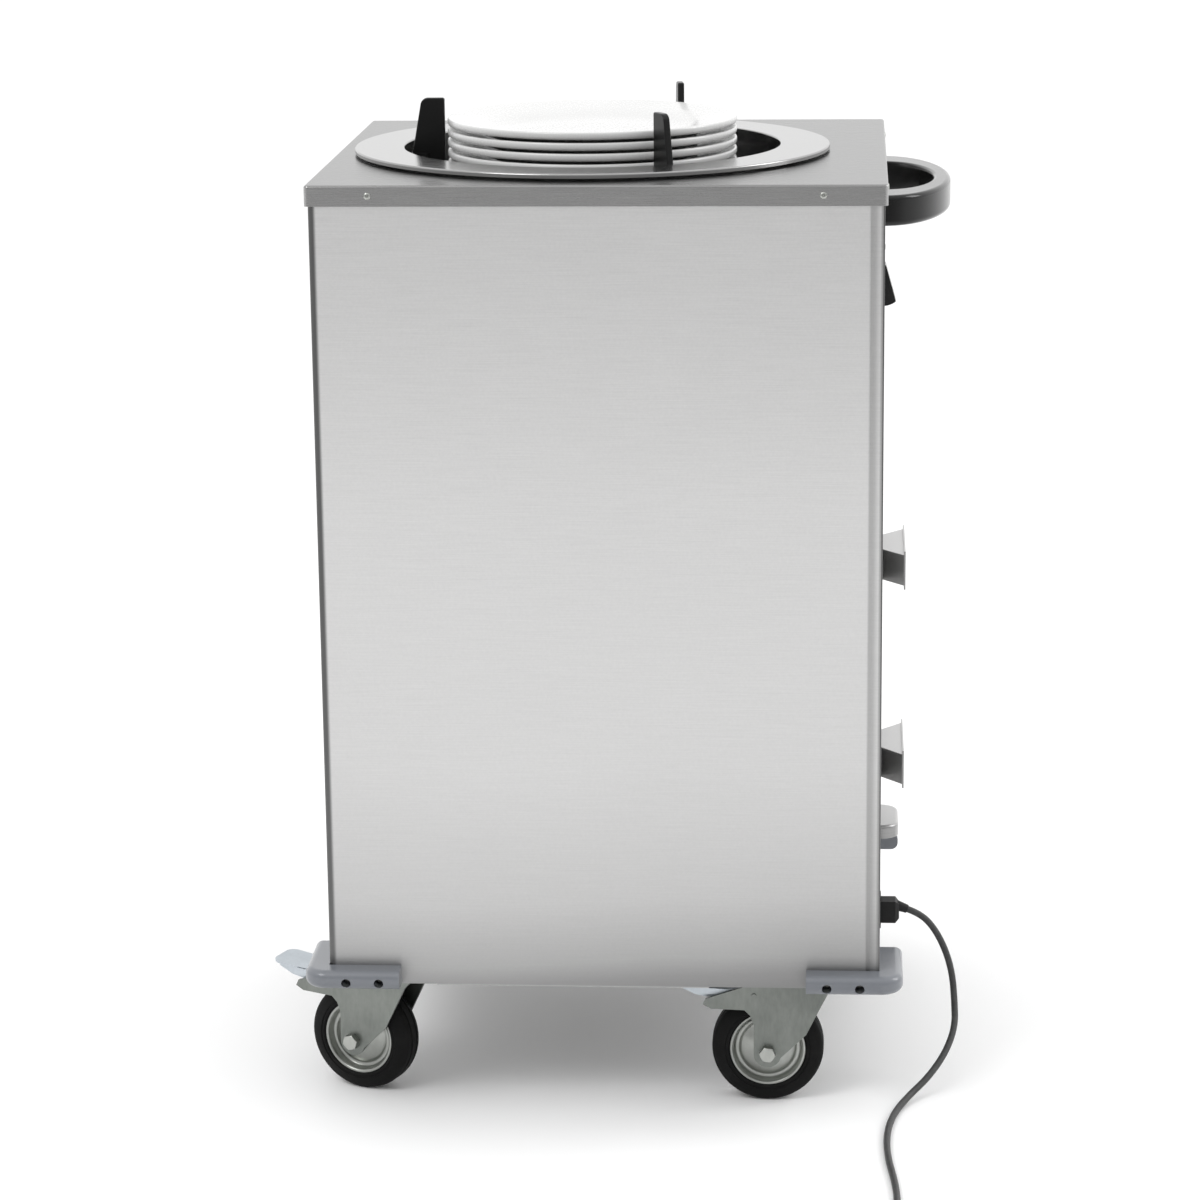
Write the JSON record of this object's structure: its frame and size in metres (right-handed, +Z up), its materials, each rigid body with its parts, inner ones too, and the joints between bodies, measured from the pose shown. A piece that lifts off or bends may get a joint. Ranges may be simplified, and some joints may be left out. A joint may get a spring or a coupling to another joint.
{
  "type": "heated plate dispenser cart",
  "caption": "Upright stainless plate dispenser on swivel casters, with a self-levelling spring lift under a round mouth, guide fingers, a bow push handle, cord cleats and corner bumpers.",
  "frame": {"origin": "on the floor under the centre of the cabinet", "axes": "+Z up, +X towards the handle and controls, -Y towards the plain front"},
  "size_m": [0.6311, 0.9305, 0.8915],
  "materials": {
    "cabinet_steel": "satin, fine brushed grain",
    "tube_steel": "satin",
    "flange_steel": "polished satin",
    "zinc_plated_steel": "bright zinc plate",
    "spring_steel": "satin",
    "element_sheath": "matt, heat darkened",
    "black_plastic": "semi gloss, moulded",
    "black_fitting": "matt",
    "bumper_grey": "satin",
    "shoe_nylon": "satin",
    "lamp_lens": "clear gloss",
    "tyre_black": "matt",
    "plate_glaze": "gloss glaze",
    "cord_rubber": "satin"
  },
  "bodies": {
    "cabinet": {"cabinet_wrap": "cabinet_steel", "service_panel": "cabinet_steel", "top_deck": "cabinet_steel", "base_pan": "cabinet_steel", "corner_posts": "cabinet_steel", "blind_rivets": "cabinet_steel", "cord_cleat_upper": "cabinet_steel", "cord_cleat_lower": "cabinet_steel", "vent_hood": "cabinet_steel", "plate_tube": "tube_steel", "element_clips": "tube_steel", "terminal_box": "tube_steel", "thermostat": "tube_steel", "tube_flange": "flange_steel", "bow_handle": "black_plastic", "switch_bezel": "black_fitting", "cord_gland": "black_fitting", "lift_springs": "spring_steel", "heating_element": "element_sheath", "pilot_lamp": "lamp_lens", "corner_bumper_front_left": "bumper_grey", "corner_bumper_front_right": "bumper_grey", "corner_bumper_rear_left": "bumper_grey", "corner_bumper_rear_right": "bumper_grey", "handle_screws": "zinc_plated_steel", "bumper_screws": "zinc_plated_steel", "caster_plates": "zinc_plated_steel", "caster_bolts": "zinc_plated_steel", "power_cord": "cord_rubber", "cord_coil": "cord_rubber", "power_plug": "cord_rubber"},
    "lift": {"lift_platform": "tube_steel", "lift_shoes": "shoe_nylon", "plate_stack": "plate_glaze", "plate_top": "plate_glaze"},
    "rocker": {"rocker": "black_plastic"},
    "guide_left": {"guide_rod_left": "tube_steel", "guide_finger_left": "black_plastic"},
    "guide_front": {"guide_rod_front": "tube_steel", "guide_finger_front": "black_plastic"},
    "guide_back": {"guide_rod_back": "tube_steel", "guide_finger_back": "black_plastic"},
    "caster_front_right": {"fork_front_right": "zinc_plated_steel", "axle_front_right": "zinc_plated_steel"},
    "wheel_front_right": {"rim_front_right": "zinc_plated_steel", "tyre_front_right": "tyre_black"},
    "pedal_front_right": {"brake_pedal_front_right": "zinc_plated_steel"},
    "caster_front_left": {"fork_front_left": "zinc_plated_steel", "axle_front_left": "zinc_plated_steel"},
    "wheel_front_left": {"rim_front_left": "zinc_plated_steel", "tyre_front_left": "tyre_black"},
    "pedal_front_left": {"brake_pedal_front_left": "zinc_plated_steel"},
    "caster_rear_right": {"fork_rear_right": "zinc_plated_steel", "axle_rear_right": "zinc_plated_steel"},
    "wheel_rear_right": {"rim_rear_right": "zinc_plated_steel", "tyre_rear_right": "tyre_black"},
    "caster_rear_left": {"fork_rear_left": "zinc_plated_steel", "axle_rear_left": "zinc_plated_steel"},
    "wheel_rear_left": {"rim_rear_left": "zinc_plated_steel", "tyre_rear_left": "tyre_black"}
  },
  "joints": [
    {"name": "lift_slide", "type": "slide", "parent": "cabinet", "child": "lift", "axis": [0, 0, 1], "range_m": [-0.335, 0.0975], "stiffness_N_per_m": 740, "springref_m": 0.134, "deforming": ["lift_springs"]},
    {"name": "rocker_turn", "type": "hinge", "parent": "cabinet", "child": "rocker", "pos_m": [0.2481, 0, 0.72], "axis": [0, 1, 0], "range_deg": [0, 31]},
    {"name": "guide_left_turn", "type": "hinge", "parent": "cabinet", "child": "guide_left", "pos_m": [-0.1755, 0, 0.808], "axis": [0, 0, 1], "range_deg": [-75, 75]},
    {"name": "guide_front_turn", "type": "hinge", "parent": "cabinet", "child": "guide_front", "pos_m": [0.05789, -0.13885, 0.808], "axis": [0, 0, 1], "range_deg": [-75, 75]},
    {"name": "guide_back_turn", "type": "hinge", "parent": "cabinet", "child": "guide_back", "pos_m": [0.05546, 0.14015, 0.808], "axis": [0, 0, 1], "range_deg": [-110, 40]},
    {"name": "swivel_front_right", "type": "hinge", "parent": "cabinet", "child": "caster_front_right", "pos_m": [0.187, -0.19, 0.126], "axis": [0, 0, 1], "continuous": true},
    {"name": "roll_front_right", "type": "hinge", "parent": "caster_front_right", "child": "wheel_front_right", "pos_m": [0.147, -0.19, 0.0508], "axis": [0, -1, 0], "continuous": true},
    {"name": "brake_front_right", "type": "hinge", "parent": "caster_front_right", "child": "pedal_front_right", "pos_m": [0.1347, -0.19, 0.105], "axis": [0, -1, 0], "range_deg": [0, 12]},
    {"name": "swivel_front_left", "type": "hinge", "parent": "cabinet", "child": "caster_front_left", "pos_m": [-0.187, -0.19, 0.126], "axis": [0, 0, 1], "continuous": true},
    {"name": "roll_front_left", "type": "hinge", "parent": "caster_front_left", "child": "wheel_front_left", "pos_m": [-0.22409, -0.17502, 0.0508], "axis": [-0.3746, -0.9272, 0], "continuous": true},
    {"name": "brake_front_left", "type": "hinge", "parent": "caster_front_left", "child": "pedal_front_left", "pos_m": [-0.23549, -0.17041, 0.105], "axis": [-0.3746, -0.9272, 0], "range_deg": [0, 12]},
    {"name": "swivel_rear_right", "type": "hinge", "parent": "cabinet", "child": "caster_rear_right", "pos_m": [0.187, 0.19, 0.126], "axis": [0, 0, 1], "continuous": true},
    {"name": "roll_rear_right", "type": "hinge", "parent": "caster_rear_right", "child": "wheel_rear_right", "pos_m": [0.14941, 0.20368, 0.0508], "axis": [-0.342, -0.9397, 0], "continuous": true},
    {"name": "swivel_rear_left", "type": "hinge", "parent": "cabinet", "child": "caster_rear_left", "pos_m": [-0.187, 0.19, 0.126], "axis": [0, 0, 1], "continuous": true},
    {"name": "roll_rear_left", "type": "hinge", "parent": "caster_rear_left", "child": "wheel_rear_left", "pos_m": [-0.22613, 0.18168, 0.0508], "axis": [0.2079, -0.9781, 0], "continuous": true}
  ]
}
